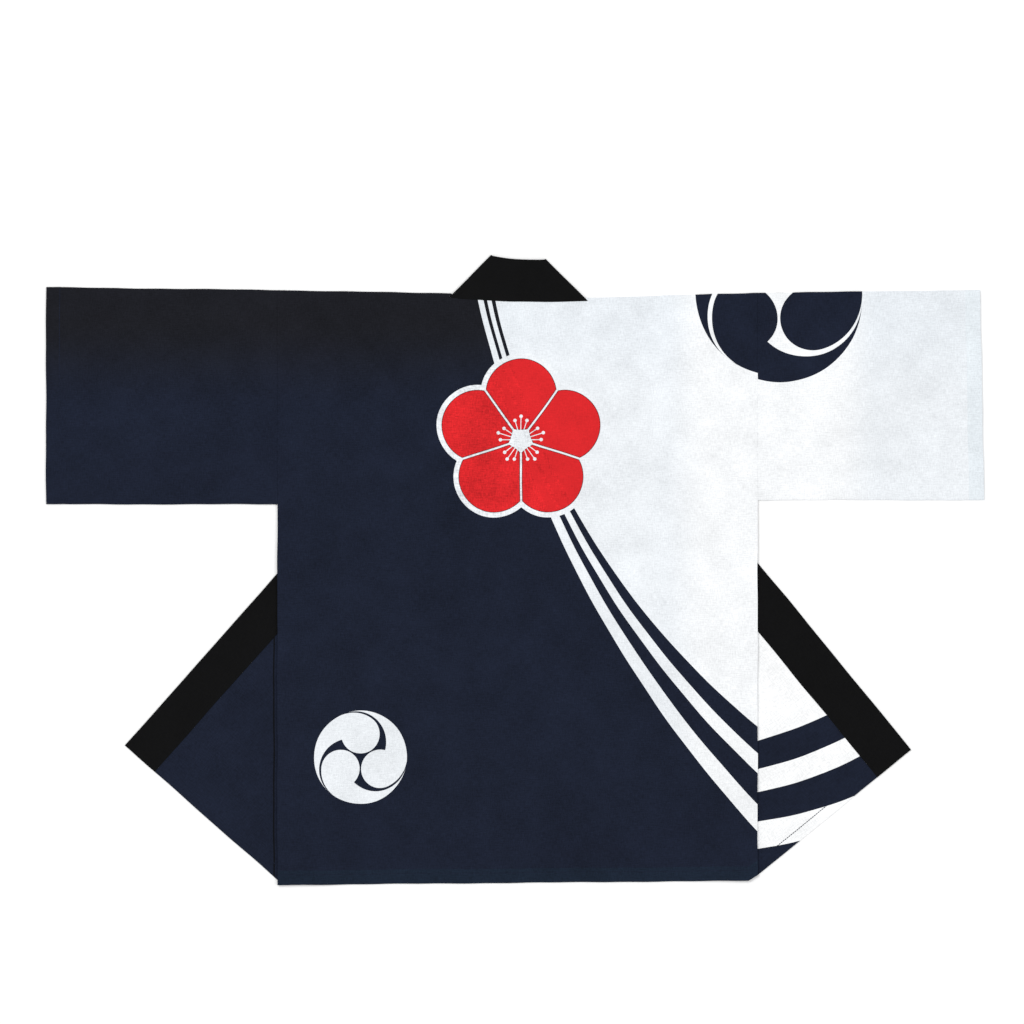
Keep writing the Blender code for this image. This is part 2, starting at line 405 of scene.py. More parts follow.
def bend(upper, lower, inward):
    """Half round between the edges of two leaves: middle + radius (outward sin a, up cos a)."""
    middle, radius = (upper + lower) / 2, (upper[:, 2] - lower[:, 2])[:, None] / 2
    run = upper[-1, :2] - upper[0, :2]
    outward = np.array((run[1], -run[0])) / np.linalg.norm(run)
    if (inward - upper[0, :2]) @ outward > 0:
        outward = -outward
    angle = np.linspace(0, math.pi, BEND_STEPS + 1)
    aside = radius * np.sin(angle)
    along = [middle[:, i : i + 1] + aside * outward[i] for i in (0, 1)]
    return np.dstack((*along, middle[:, 2:] + radius * np.cos(angle)))


def across_bend(upper, lower):
    """Places in the cut across a bend, shared out evenly between its two edges."""
    return ruled(upper, lower, np.linspace(0, 1, BEND_STEPS + 1))


# Relief of the leaves that show: how each crease fades out along it and near the leaf's edges, the
# height of one wave, and how far cloth slips aside
CREASE_END_SHARE = 0.3
EDGE_FADE = 0.010
WAVE_HEIGHT = 0.00008
SLIPS = (0.00028, 0.00018)

# Each crease: its ends in the photograph, its half width and its height
CREASES = [
    ((93, 300), (92, 495), 0.0035, 0.0006),
    ((176, 296), (175, 498), 0.0045, 0.0008),
    ((335, 300), (336, 520), 0.0045, 0.0007),
    ((376, 300), (377, 560), 0.0035, 0.0005),
    ((870, 300), (872, 490), 0.0040, 0.0006),
    ((676, 310), (675, 560), 0.0040, 0.0006),
    ((517, 600), (518, 870), 0.0055, 0.0007),
]


def crease(plan, start, end, width, height):
    """A soft ridge: height exp(-(distance across / width)^2), eased to 0 at both ends."""
    start, end = np.array(photo_point(*start)), np.array(photo_point(*end))
    length = np.linalg.norm(end - start)
    along = (end - start) / length
    gap = plan - start
    run = gap @ along
    across = gap[..., 0] * along[1] - gap[..., 1] * along[0]
    ending = CREASE_END_SHARE * length
    fade = eased(run / ending) * eased((length - run) / ending)
    return height * np.exp(-((across / width) ** 2)) * fade


def pressed(plan, outline):
    """Creases and low waves of pressed cloth, faded out at the leaf's edges.

    The waves are a sum of sines of slanted lengths, half a millimetre high in all.
    """
    x, y = plan[..., 0], plan[..., 1]
    waves = np.sin(23 * x + 7 * y + 0.4) + np.sin(11 * x - 17 * y + 1.9) + np.sin(31 * x - 4 * y + 2.2)
    relief = sum(crease(plan, *line) for line in CREASES) + WAVE_HEIGHT * (waves + 3)
    fade = eased(distance_to_edges(plan.reshape(-1, 2), outline) / EDGE_FADE)
    return relief * fade.reshape(x.shape)


def settled(points):
    """Small slips of cloth laid by hand: each way two sines of position, half a millimetre in all."""
    x, y = points[:, 0], points[:, 1]
    long_slip, short_slip = SLIPS
    aside = long_slip * np.sin(37 * y + 2 * np.sin(9 * x)) + short_slip * np.sin(83 * y + 11 * x + 1.3)
    along = long_slip * np.sin(29 * x + 2 * np.sin(11 * y) + 0.7) + short_slip * np.sin(97 * x - 7 * y)
    return points + np.column_stack((aside, along, np.zeros(len(points))))


# Pieces as lists of patches: points, and their places in the cut with the distance from the hem.
# The inner points only tell a bend on which side of the fold its cloth lies, and the last number is
# the height from which the collar's length is counted
MIDDLE_OF_BACK = np.array((0, -0.4))
MIDDLE_OF_NECK = np.array((0, 0.02))
INSIDE_TURN = (0.1, 0)
INSIDE_COLLAR_TURN = (0.2, -0.1)
COLLAR_ZERO = 0.2


def fold_shares(side):
    """Where the back's columns meet a shoulder fold, as shares of the way from armhole to neck."""
    whole = BODY_HALF_WIDTH - abs(neckline_end(side)[0])
    steps = (ALLOWANCE - STEP) / whole, (ALLOWANCE + STEP) / whole
    return stations(0, *steps, 1, spacing=SPACING / whole)


def fold_line(side):
    """The shoulder fold, where the back's columns meet it."""
    return armhole_top(side) + fold_shares(side)[:, None] * (neck_point(side) - armhole_top(side))


def back_plans():
    """The back up to the neckline, and the strips from there up to the shoulder folds."""
    reach = {
        side: BODY_HALF_WIDTH - fold_shares(side) * (BODY_HALF_WIDTH - abs(neckline_end(side)[0]))
        for side in (LEFT, RIGHT)
    }
    left_end, right_end = neckline_end(LEFT)[0], neckline_end(RIGHT)[0]
    between = stations(left_end, right_end)[1:-1]
    x = np.concatenate((-reach[LEFT], between, reach[RIGHT][::-1]))
    top = neckline_height(np.clip(x, left_end, right_end))
    tall = LEFT.neckline_height - LEFT.hem_height
    rows = stations(0, (HEM - STEP) / tall, (HEM + STEP) / tall, 1, spacing=SPACING / tall)
    main = ruled(np.column_stack((x, hem_height(x))), np.column_stack((x, top)), rows)
    strips = {
        side: ruled(
            np.column_stack((side.sign * reach[side], np.full(len(reach[side]), side.neckline_height))),
            fold_line(side),
            stations(0, 1, spacing=NECK_STRIP_SHARE),
        )
        for side in (LEFT, RIGHT)
    }
    return main, strips


def back_patch(plan):
    """Part of the back on the pile: pressed, and raised over its hem and its seam allowances."""
    from_hem = plan[..., 1] - hem_height(plan[..., 0])
    raised = HEM_RAISE * (from_hem < HEM)
    raised += ALLOWANCE_RAISE * (np.abs(plan[..., 0]) > BODY_HALF_WIDTH - ALLOWANCE)
    height = pile_height(plan, 3) + CLOTH / 2 + pressed(plan, back_outline()) + raised
    return with_value(plan, height), with_value(plan, from_hem)


def body_patches():
    """The back, and each front with the part of it that is turned outwards."""
    main, strips = back_plans()
    patches = [back_patch(main)]
    for side in (LEFT, RIGHT):
        strip, strip_cut = back_patch(strips[side])
        corners = front_corners(side)
        inner = along_corners(corners)
        seam_top, neck = corners[5, 1], corners[7, 1]
        outer_height = np.interp(
            inner[:, 1],
            (front_hem(side), seam_top, neck),
            (front_hem(side), seam_top, side.shoulder_height[1]),
        )
        outer = np.column_stack((np.full(len(inner), side.sign * BODY_HALF_WIDTH), outer_height))
        front = ruled(outer, inner, fold_shares(side))
        front_points = with_value(front, pile_height(front, 2) + CLOTH / 2)
        front_cut = with_value(unfolded(side, front), front[..., 1] - front_hem(side))

        on_turn = inner[:, 1] <= corners[3, 1] + TOUCH
        turn_line = inner[on_turn]
        hem_end = turned_front_outline(side)[1]
        share = (turn_line[:, 1:] - turn_line[0, 1]) / (turn_line[-1, 1] - turn_line[0, 1])
        seam = hem_end + share * (turn_line[-1] - hem_end)
        leaf = ruled(turn_line, seam, stations(0, 1, spacing=TURNED_SHARE))
        before = turned(side, leaf)
        from_hem = before[..., 1] - front_hem(side)
        leaf_points = with_value(leaf, CLOTH / 2 + HEM_RAISE * (from_hem < HEM))
        leaf_cut = with_value(unfolded(side, before), from_hem)

        fold = bend(strip[:, -1], front_points[-1], MIDDLE_OF_BACK)
        inside = hem_corner(side) - side.place(*INSIDE_TURN)
        turn = bend(front_points[on_turn, -1], leaf_points[:, 0], inside)
        patches += [
            (strip, strip_cut),
            (front_points, front_cut),
            (fold, across_bend(strip_cut[:, -1], front_cut[-1])),
            (leaf_points, leaf_cut),
            (turn, across_bend(front_cut[on_turn, -1], leaf_cut[:, 0])),
        ]
    return patches


def collar_cut(across, length):
    """Places along a strip: across from its seam, and along its length, far from any hem."""
    across, length = np.broadcast_arrays(across, length)
    return np.dstack((across, length, np.ones(across.shape)))


def collar_patches():
    """The collar behind the neck, and down each front to where that is turned outwards."""
    left_seam, left_corner = mitre(LEFT)
    right_seam, right_corner = mitre(RIGHT)
    share = stations(0, 1, spacing=COLLAR_BACK_SHARE)[:, None]
    x = left_seam[0] + share[:, 0] * (right_seam[0] - left_seam[0])
    seam = np.column_stack((x, neckline_height(x) + SEAM))
    top = left_corner + share * (right_corner - left_corner)
    top[:, 1] -= COLLAR_TOP_DIP * (1 - (2 * share[:, 0] - 1) ** 2)
    across = stations(0, 1, spacing=COLLAR_SHARE)
    back = ruled(seam, top, across)
    back_points = with_value(back, pile_height(back, 3) + COLLAR / 2)
    back_cut = collar_cut(across * NECK_COLLAR_WIDTH, x[:, None])
    patches = [(back_points, back_cut)]
    for side, end in ((LEFT, 0), (RIGHT, -1)):
        seam_end, corner = mitre(side)
        width = side.front_collar_width
        knee, on_seam = front_line(side, width, -COLLAR_KNEE_DEPTH), turn_crossing(side, width)
        knee_edge, on_edge = front_line(side, 0, -COLLAR_KNEE_DEPTH), turn_crossing(side, 0)
        above = np.linspace(0, 1, round(math.dist(seam_end, knee) / SPACING), endpoint=False)[:, None]
        below = np.linspace(0, 1, round(math.dist(knee, on_seam) / SPACING) + 1)[:, None]
        seam_line = np.concatenate((seam_end + above * (knee - seam_end), knee + below * (on_seam - knee)))
        edge_line = np.concatenate(
            (corner + above * (knee_edge - corner), knee_edge + below * (on_edge - knee_edge))
        )
        front = ruled(seam_line, edge_line, across)
        front_points = with_value(front, pile_height(front, 2) + COLLAR / 2)
        front_cut = collar_cut(across * width, side.sign * (COLLAR_ZERO - front[..., 1]))

        on_seam, on_edge, hem_edge, hem_seam = collar_turned_outline(side)
        run = stations(0, 1, spacing=SPACING / math.dist(on_seam, hem_seam))[:, None]
        leaf = ruled(on_seam + run * (hem_seam - on_seam), on_edge + run * (hem_edge - on_edge), across)
        leaf_points = with_value(leaf, COLLAR / 2)
        leaf_cut = collar_cut(across * width, side.sign * (COLLAR_ZERO - turned(side, leaf)[..., 1]))

        neck_turn = bend(back_points[end], front_points[0], MIDDLE_OF_NECK)
        inside = hem_corner(side) - side.place(*INSIDE_COLLAR_TURN)
        patches += [
            (front_points, front_cut),
            (neck_turn, across_bend(back_cut[end], front_cut[0])),
            (leaf_points, leaf_cut),
            (bend(front_points[-1], leaf_points[0], inside), across_bend(front_cut[-1], leaf_cut[0])),
        ]
    return patches


def sleeve_patches(side):
    """A sleeve's upper and lower leaves, joined round its shoulder fold and its lower edge."""
    outline = sleeve_outline(side)
    shoulder_in, foot_in, foot_out, shoulder_out = outline
    length = math.dist(foot_in, foot_out)
    inner_step, outer_step = 1 - (CUFF_HEM + STEP) / length, 1 - (CUFF_HEM - STEP) / length
    run = stations(0, inner_step, outer_step, 1, spacing=SPACING / length)[:, None]
    foot = foot_in + run * (foot_out - foot_in)
    shoulder = shoulder_in + run * (shoulder_out - shoulder_in)
    rows = stations(0, 1, spacing=SPACING / math.dist(shoulder_in, foot_in))
    leaf = ruled(foot, shoulder, rows)
    from_cuff = (1 - run) * length
    relief = pressed(leaf, outline) + HEM_RAISE * (from_cuff < CUFF_HEM)
    upper = with_value(leaf, pile_height(leaf, 3) + CLOTH / 2 + relief)
    lower = with_value(leaf, pile_height(leaf, 2) + CLOTH / 2)
    upper_cut = with_value(leaf, from_cuff)
    lower_cut = with_value(unfolded(side, leaf, shoulder_in, shoulder_out), from_cuff)
    centre = outline.mean(0)
    under_arm_cut = across_bend(upper_cut[:, 0], upper_cut[:, 0] - (0, BEND_LENGTH, 0))
    return [
        (upper, upper_cut),
        (lower, lower_cut),
        (bend(upper[:, -1], lower[:, -1], centre), across_bend(upper_cut[:, -1], lower_cut[:, -1])),
        (bend(upper[:, 0], lower[:, 0], centre), under_arm_cut),
    ]


def grid_faces(rows, columns):
    """Quads of a grid of points numbered row by row."""
    first = (np.arange(rows - 1)[:, None] * columns + np.arange(columns - 1)).reshape(-1, 1)
    return first + np.array([0, 1, columns + 1, columns])


def shell(name, patches, thickness, shift, material):
    """Joins the patches of a piece into one sheet and gives it its thickness, half to each side."""
    counts = np.cumsum([0] + [points.shape[0] * points.shape[1] for points, _ in patches])
    points = settled(np.concatenate([points.reshape(-1, 3) for points, _ in patches])) + (*shift, 0)
    cut = np.concatenate([cut.reshape(-1, 3) for _, cut in patches])
    faces = [grid_faces(*p.shape[:2]) + start for (p, _), start in zip(patches, counts)]
    mesh = bpy.data.meshes.new(name)
    mesh.from_pydata(points, [], np.concatenate(faces))
    places = mesh.attributes.new("cut", "FLOAT_VECTOR", "POINT")
    places.data.foreach_set("vector", cut.astype(np.float32).ravel())
    joined = bmesh.new()
    joined.from_mesh(mesh)
    bmesh.ops.remove_doubles(joined, verts=joined.verts[:], dist=TOUCH)
    bmesh.ops.recalc_face_normals(joined, faces=joined.faces[:])
    joined.faces.ensure_lookup_table()
    highest = max(joined.faces, key=lambda face: face.calc_center_median().z)
    if highest.normal.z < 0:
        bmesh.ops.reverse_faces(joined, faces=joined.faces[:])
    joined.to_mesh(mesh)
    joined.free()
    mesh.shade_smooth()
    mesh.materials.append(material)
    made = bpy.data.objects.new(name, mesh)
    bpy.context.scene.collection.objects.link(made)
    wall = made.modifiers.new("wall", "SOLIDIFY")
    wall.thickness = thickness
    wall.offset = 0
    wall.use_rim = True
    rim = made.modifiers.new("rolled_edge", "BEVEL")
    rim.width = thickness * EDGE_ROUNDING
    rim.segments = EDGE_SEGMENTS
    rim.limit_method = "ANGLE"
    rim.angle_limit = EDGE_ANGLE
    rim.harden_normals = True
    return made


# Materials
def linear(code):
    """An sRGB hex colour as linear light."""
    parts = [int(code[i : i + 2], 16) / 255 for i in (1, 3, 5)]
    return (*[c / 12.92 if c <= 0.04045 else ((c + 0.055) / 1.055) ** 2.4 for c in parts], 1)


def add(tree, kind, links=None, **settings):
    """Adds a node with its settings, and sets each input or links it to a socket or a node."""
    made = tree.nodes.new(kind)
    for name, value in settings.items():
        setattr(made, name, value)
    for socket, value in (links or {}).items():
        if isinstance(value, bpy.types.Node):
            value = next(output for output in value.outputs if output.enabled)
        if isinstance(value, bpy.types.NodeSocket):
            tree.links.new(value, made.inputs[socket])
        else:
            made.inputs[socket].default_value = value
    return made


def compute(tree, operation, *values, **settings):
    """A node that works out a number from values, sockets or nodes."""
    return add(tree, "ShaderNodeMath", dict(enumerate(values)), operation=operation, **settings)


def vector(tree, operation, *values):
    """A node that works with vectors: its operation may also give a number."""
    return add(tree, "ShaderNodeVectorMath", dict(enumerate(values)), operation=operation)


# Colours
NAVY = "#181E2E"
# painted shade: the navy near the shoulder fold, greyer
PAINTED_SHADE_NAVY = "#18191F"
WHITE = "#E9EDF1"
# painted shade: the white near the shoulder fold, greyer
PAINTED_SHADE_WHITE = "#E3E8ED"
# painted light: the white on a stretch at the armhole, brighter
PAINTED_LIGHT_WHITE = "#F3F5F7"
# painted light: the white of the fronts, brighter than the same cloth on the back
PAINTED_LIGHT_TURNED_WHITE = "#F9FAFB"
CUFF_WHITE = "#E3EAEF"
HEM_NAVY = "#182231"
# painted shadow: a dark line on the left front beside the back's edge
SIDE_SHADOW_COLOUR = "#090B10"
RED = "#D8262A"
MAROON = "#5A1418"
BLACK = "#0A0A0B"

# Where painted shade lies near the shoulder fold, and painted light on a stretch of the white at the
# armhole
FOLD_SHADE_RANGE = (0.16, 0.03)
PAINTED_LIGHT_MIDDLE = 0.355
PAINTED_LIGHT_HALF_WIDTH = (0.15, 0.09)

# The weave. Its threads are 0.4 mm apart, too fine to show, so it is drawn at 1.2 mm, and its slubs,
# the thicker stretches of a thread, at two or three times their real width. Grain and clouds of tone
# are each a size and a weight, and the speckles say how far they change the colour
THREAD = 0.0012
SLUBS = ((0.0014, 0.0090), (0.0100, 0.0014))
CLOUDS = ((0.0022, 1.0), (0.036, 0.8), (0.150, 0.8))
WHITE_SPECKLE = 0.26
DARK_SPECKLE = 0.62
THREAD_RELIEF = 0.4
GROOVE_RELIEF = 1.5
RELIEF_DEPTH = 0.0003
RELIEF_STRENGTH = 0.5

# Bare cotton scatters light almost evenly, with hardly any gloss
COTTON_ROUGHNESS = 0.9
COTTON_GLOSS = 0.12

# Stitches by machine, drawn 1.2 mm wide where the real thread is 0.4 mm, so that they show
STITCH_PITCH = 0.0035
STITCH_SHARE = 0.75
STITCH_HALF_WIDTH = 0.0006
STITCH_GROOVE = 0.0022
HEM_STITCH = 0.0142
CUFF_STITCH = 0.0190
COLLAR_STITCH = 0.0025

# A painted shadow on the left front: how far it lies beyond the back's edge, and its width
SIDE_SHADOW_REACH = 0.0050
SIDE_SHADOW_WIDTH = 0.0020


def circle_through(first, second, third):
    """Centre and radius of the circle through three points, from equal distances to all three."""
    first, second, third = (np.array(p) for p in (first, second, third))
    sides = 2 * np.array([second - first, third - first])
    sums = np.array([second @ second - first @ first, third @ third - first @ first])
    centre = np.linalg.solve(sides, sums)
    return centre, np.linalg.norm(centre - first)


# The print, each line as three points of an arc in the photograph. Above the last number, a height in
# the flat cut, lie the fronts
SWEEP = [
    ((478.0, 300), (545.0, 505), (757, 831)),
    ((483.5, 300), (555.3, 508), (757, 804)),
    ((487.1, 300), (562.0, 510), (757, 773)),
    ((491.4, 300), (570.0, 512), (757, 753)),
    ((495.3, 300), (578.0, 515), (757, 726)),
]
FRONT_RINGS = [
    ((758, 740.7), (794, 728.7), (826, 715.7)),
    ((758, 769.2), (802.5, 756.0), (845.5, 737.6)),
    ((758, 792.4), (815, 776.2), (860.5, 756.2)),
    ((757.5, 821.9), (826.2, 806.2), (855.5, 795.7)),
    ((757, 849.2), (778, 845.6), (798, 841.0)),
]
FRONT_STARTS = 0.0095


@dataclass(frozen=True)
class Commas:
    """A figure of three commas. Lengths from head_reach on are in units of its radius."""

    centre: tuple
    radius: float
    head_reach: float
    head_radius: float
    meeting: float  # degrees at which the shoulder's circle reaches the figure's own
    notch: tuple  # the hollow of the tail: where it leaves the head, its waist, and its tip in degrees
    waist: float
    tip: float


LOW_FIGURE = Commas((360.5, 757.3), 0.0651, 0.494, 0.412, 121, (-0.430, 0.375), 0.836, 228)
HIGH_FIGURE = Commas((779.5, 292.2), 0.1179, 0.461, 0.394, 125, (-0.353, 0.330), 0.786, 233)
SLEEVE_FIGURE = Commas((779.0, 299.0), 0.1168, 0.462, 0.385, 127, (-0.433, 0.354), 0.790, 238)


def inside_circle(tree, point, centre, radius):
    """1 where a point is inside a circle, and 0 outside."""
    gap = vector(tree, "DISTANCE", point, (*centre, 0))
    return compute(tree, "LESS_THAN", gap.outputs["Value"], float(radius))


def bands(tree, point, circles):
    """1 where the number of circles round a point is odd, and 0 elsewhere."""
    count = 0.0
    for centre, radius in circles:
        inside = inside_circle(tree, point, centre, radius)
        count = compute(tree, "ADD", inside, count)
    return compute(tree, "MODULO", count, 2.0)


def three_commas(tree, point, figure):
    """1 inside a figure of three commas that chase each other round a centre.

    With its head up, a comma is the head's circle and a tail to the left of it. The tail is bounded
    by a shoulder circle, which touches the head's and, at the meeting, the figure's own, from there on
    by the figure's own circle, and inside by the hollow's circle, through notch, waist and tip.
    """
    reach, head_radius = figure.head_reach, figure.head_radius
    room = 1 - head_radius
    meeting, tip_angle = math.radians(figure.meeting), math.radians(figure.tip)
    offset = (room**2 - reach**2) / (2 * room - 2 * reach * math.sin(meeting))
    shoulder = offset * np.array((math.cos(meeting), math.sin(meeting)))
    head = np.array((0, reach))
    tip = (math.cos(tip_angle), math.sin(tip_angle))
    hollow, hollow_radius = circle_through(figure.notch, (-figure.waist, 0), tip)
    towards = (head - shoulder) / np.linalg.norm(head - shoulder)
    aside = np.array((towards[1], -towards[0]))
    split = float(head @ aside)
    beyond = (-math.sin(meeting), math.cos(meeting), 0)

    gap = vector(tree, "SUBTRACT", point, (*photo_point(*figure.centre), 0))
    unit = add(tree, "ShaderNodeVectorMath", {0: gap, "Scale": 1 / figure.radius}, operation="SCALE")
    whole = 0.0
    for turn in range(3):
        angle = math.tau * turn / 3
        here = add(
            tree, "ShaderNodeVectorRotate", {"Vector": unit, "Angle": angle}, rotation_type="Z_AXIS"
        )
        place = add(tree, "ShaderNodeSeparateXYZ", {0: here}).outputs
        upper = compute(tree, "GREATER_THAN", place[1], 0.0)
        in_shoulder = inside_circle(tree, here, shoulder, 1 - offset)
        upper_shoulder = compute(tree, "MULTIPLY", in_shoulder, upper)
        across = vector(tree, "DOT_PRODUCT", here, (*aside, 0))
        beside = compute(tree, "LESS_THAN", across.outputs["Value"], split)
        before = compute(tree, "MULTIPLY", upper_shoulder, beside)
        in_rim = inside_circle(tree, here, (0, 0), 1)
        left = compute(tree, "LESS_THAN", place[0], 0.0)
        after = compute(tree, "MULTIPLY", in_rim, left)
        passed = vector(tree, "DOT_PRODUCT", here, beyond)
        past = compute(tree, "GREATER_THAN", passed.outputs["Value"], 0.0)
        outer = add(tree, "ShaderNodeMix", {0: past, 2: before, 3: after}, data_type="FLOAT")
        hole = inside_circle(tree, here, hollow, hollow_radius)
        tail = compute(tree, "GREATER_THAN", outer, hole)
        in_head = inside_circle(tree, here, head, head_radius)
        comma = compute(tree, "MAXIMUM", in_head, tail)
        whole = compute(tree, "MAXIMUM", comma, whole)
    return whole


# The flower: five round petals, with stamens of thin stalks and round tips
FLOWER_CENTRE = (521, 440)
PETAL_REACH = 0.064
PETAL_RADIUS = 0.050
PETAL_GAP = 0.0013
FLOWER_EYE = 0.0075
FLOWER_MARGIN = 0.0070
DARK_EDGE = 0.0009
STAMENS = ((0.0, 0.0330), (math.radians(17), 0.0285))
STALK = 0.0006
STAMEN_TIP = 0.0024


def laid_over(tree, factor, below, above):
    """One colour, or a print, over another where the factor is 1."""
    return add(tree, "ShaderNodeMix", {0: factor, 6: below, 7: above}, data_type="RGBA")


def blossom(tree, point, ground):
    """The flower over a ground colour: white margin, dark edge, red petals and white stamens.

    Each petal is folded on its own middle line, so a point has reach r and turn t from 0 to 36
    degrees, and lies at (r sin t, r cos t). There a petal is one circle, cut back beside the line to
    the next petal and round the eye. Every edge is a distance that is compared with 0.
    """
    half_petal = math.pi / 5
    gap = vector(tree, "SUBTRACT", point, (*photo_point(*FLOWER_CENTRE), 0))
    split = add(tree, "ShaderNodeSeparateXYZ", {0: gap})
    around = compute(tree, "ARCTAN2", split.outputs[0], split.outputs[1])
    turn = compute(tree, "PINGPONG", around, half_petal)
    reach = vector(tree, "LENGTH", gap).outputs["Value"]
    sine = compute(tree, "SINE", turn)
    cosine = compute(tree, "COSINE", turn)
    direction = add(tree, "ShaderNodeCombineXYZ", {0: sine, 1: cosine})
    here = add(tree, "ShaderNodeVectorMath", {0: direction, "Scale": reach}, operation="SCALE")

    away = vector(tree, "DISTANCE", here, (0, PETAL_REACH, 0))
    petal = compute(tree, "SUBTRACT", away.outputs["Value"], PETAL_RADIUS)
    middle = compute(tree, "SUBTRACT", reach, PETAL_REACH / 2)
    outside = compute(tree, "MINIMUM", petal, middle)
    between = (math.cos(half_petal), -math.sin(half_petal), 0)
    beside = vector(tree, "DOT_PRODUCT", here, between)
    slit = compute(tree, "ADD", beside.outputs["Value"], PETAL_GAP)
    eye = compute(tree, "SUBTRACT", FLOWER_EYE, reach)
    parted = compute(tree, "MAXIMUM", petal, slit)
    edge = compute(tree, "MAXIMUM", parted, eye)

    stamens = 0.0
    for angle, length in STAMENS:
        sideways = (math.cos(angle), -math.sin(angle), 0)
        offset = vector(tree, "DOT_PRODUCT", here, sideways)
        stalk = compute(tree, "COMPARE", offset.outputs["Value"], 0.0, STALK)
        short = compute(tree, "LESS_THAN", reach, length)
        line = compute(tree, "MULTIPLY", stalk, short)
        tip = inside_circle(tree, here, (length * math.sin(angle), length * math.cos(angle)), STAMEN_TIP)
        drawn = compute(tree, "MAXIMUM", line, tip)
        stamens = compute(tree, "MAXIMUM", drawn, stamens)

    colour = ground
    for distance, limit, code in (
        (outside, FLOWER_MARGIN, WHITE),
        (edge, 0.0, MAROON),
        (edge, -DARK_EDGE, RED),
    ):
        mask = compute(tree, "LESS_THAN", distance, limit)
        colour = laid_over(tree, mask, colour, linear(code))
    inner = compute(tree, "LESS_THAN", reach, PETAL_REACH)
    on_petals = compute(tree, "MULTIPLY", stamens, inner)
    return laid_over(tree, on_petals, colour, linear(WHITE))


def stitched(tree, colour, across, row, along, thread):
    """A row of stitches over a colour: dashes of thread where across is near the row.

    Also gives the groove that the stitches pull into the cloth, from 0 in the row to 1 beside it.
    """
    near = compute(tree, "COMPARE", across, row, STITCH_HALF_WIDTH)
    dash = compute(tree, "PINGPONG", along, STITCH_PITCH / 2)
    on_top = compute(tree, "LESS_THAN", dash, STITCH_SHARE * STITCH_PITCH / 2)
    seen = compute(tree, "MULTIPLY", near, on_top)
    off = compute(tree, "SUBTRACT", across, row)
    distance = compute(tree, "ABSOLUTE", off)
    groove = add(
        tree,
        "ShaderNodeMapRange",
        {"Value": distance, "From Min": 0.0, "From Max": STITCH_GROOVE},
        interpolation_type="SMOOTHSTEP",
    )
    return laid_over(tree, seen, colour, linear(thread)), groove


def woven(tree, point, colour, speckle, groove):
    """Plain woven cotton over a colour: threads both ways, their slubs, and soft clouds of tone.

    The colour is scaled by 1 + speckle times the slubs, the grain and the clouds, each noise, and
    the slubs and the crossing threads, a product of two sines, also give the relief.
    """
    slubs = 0.0
    for width, length in SLUBS:
        stretched = add(
            tree, "ShaderNodeMapping", {"Vector": point, "Scale": (1 / width, 1 / length, 1)}
        )
        noise = add(tree, "ShaderNodeTexNoise", {"Vector": stretched, "Scale": 1.0, "Detail": 1.0})
        slubs = compute(tree, "ADD", noise.outputs[0], slubs)
    total = slubs
    for size, weight in CLOUDS:
        cloud = add(tree, "ShaderNodeTexNoise", {"Vector": point, "Scale": 1 / size, "Detail": 2.0})
        total = compute(tree, "MULTIPLY_ADD", cloud.outputs[0], weight, total)
    mean = 0.5 * (len(SLUBS) + sum(weight for _, weight in CLOUDS))
    even = compute(tree, "SUBTRACT", total, mean)
    bright = compute(tree, "MULTIPLY_ADD", even, speckle, 1.0)
    shaded = add(tree, "ShaderNodeVectorMath", {0: colour, "Scale": bright}, operation="SCALE")
    threads = add(
        tree, "ShaderNodeVectorMath", {0: point, "Scale": math.tau / THREAD}, operation="SCALE"
    )
    sines = vector(tree, "SINE", threads)
    waves = add(tree, "ShaderNodeSeparateXYZ", {0: sines}).outputs
    crossing = compute(tree, "MULTIPLY", waves[0], waves[1])
    raised = compute(tree, "MULTIPLY_ADD", crossing, THREAD_RELIEF, slubs)
    relief = compute(tree, "MULTIPLY_ADD", groove, GROOVE_RELIEF, raised)
    heights = {"Height": relief, "Strength": RELIEF_STRENGTH, "Distance": RELIEF_DEPTH}
    bump = add(tree, "ShaderNodeBump", heights)
    shader = tree.nodes["Principled BSDF"]
    shader.inputs["Roughness"].default_value = COTTON_ROUGHNESS
    shader.inputs["Specular IOR Level"].default_value = COTTON_GLOSS
    tree.links.new(shaded.outputs[0], shader.inputs["Base Color"])
    tree.links.new(bump.outputs[0], shader.inputs["Normal"])


def new_material(name):
    """A material with its node tree, the place in the cut, that place's parts, and the hem's distance."""
    made = bpy.data.materials.new(name)
    made.use_nodes = True
    tree = made.node_tree
    stored = add(tree, "ShaderNodeAttribute", attribute_name="cut").outputs["Vector"]
    parts = add(tree, "ShaderNodeSeparateXYZ", {0: stored}).outputs
    point = add(tree, "ShaderNodeCombineXYZ", {0: parts[0], 1: parts[1]}).outputs[0]
    return made, tree, point, parts[0], parts[1], parts[2]


def front_ring_circles():
    """The circles of the front's rings in the flat cut: turned back in, then over the shoulder."""
    laid = [np.array([photo_point(*p) for p in arc]) for arc in FRONT_RINGS]
    return [circle_through(*unfolded(RIGHT, turned(RIGHT, arc))) for arc in laid]


def painted_side_shadow(tree, point, side):
    """1 on a strip of a turned front at a distance beside the back's edge, where a dark line of painted
    shadow lies.
    """
    low, high = unfolded(side, turned(side, [hem_corner(side), armhole_top(side)]))
    along = (high - low) / np.linalg.norm(high - low)
    outward = side.sign * np.array((along[1], -along[0]))
    reach = vector(tree, "DOT_PRODUCT", point, (*outward, 0))
    middle = float(low @ outward) + SIDE_SHADOW_REACH
    return compute(tree, "COMPARE", reach.outputs["Value"], middle, SIDE_SHADOW_WIDTH / 2)


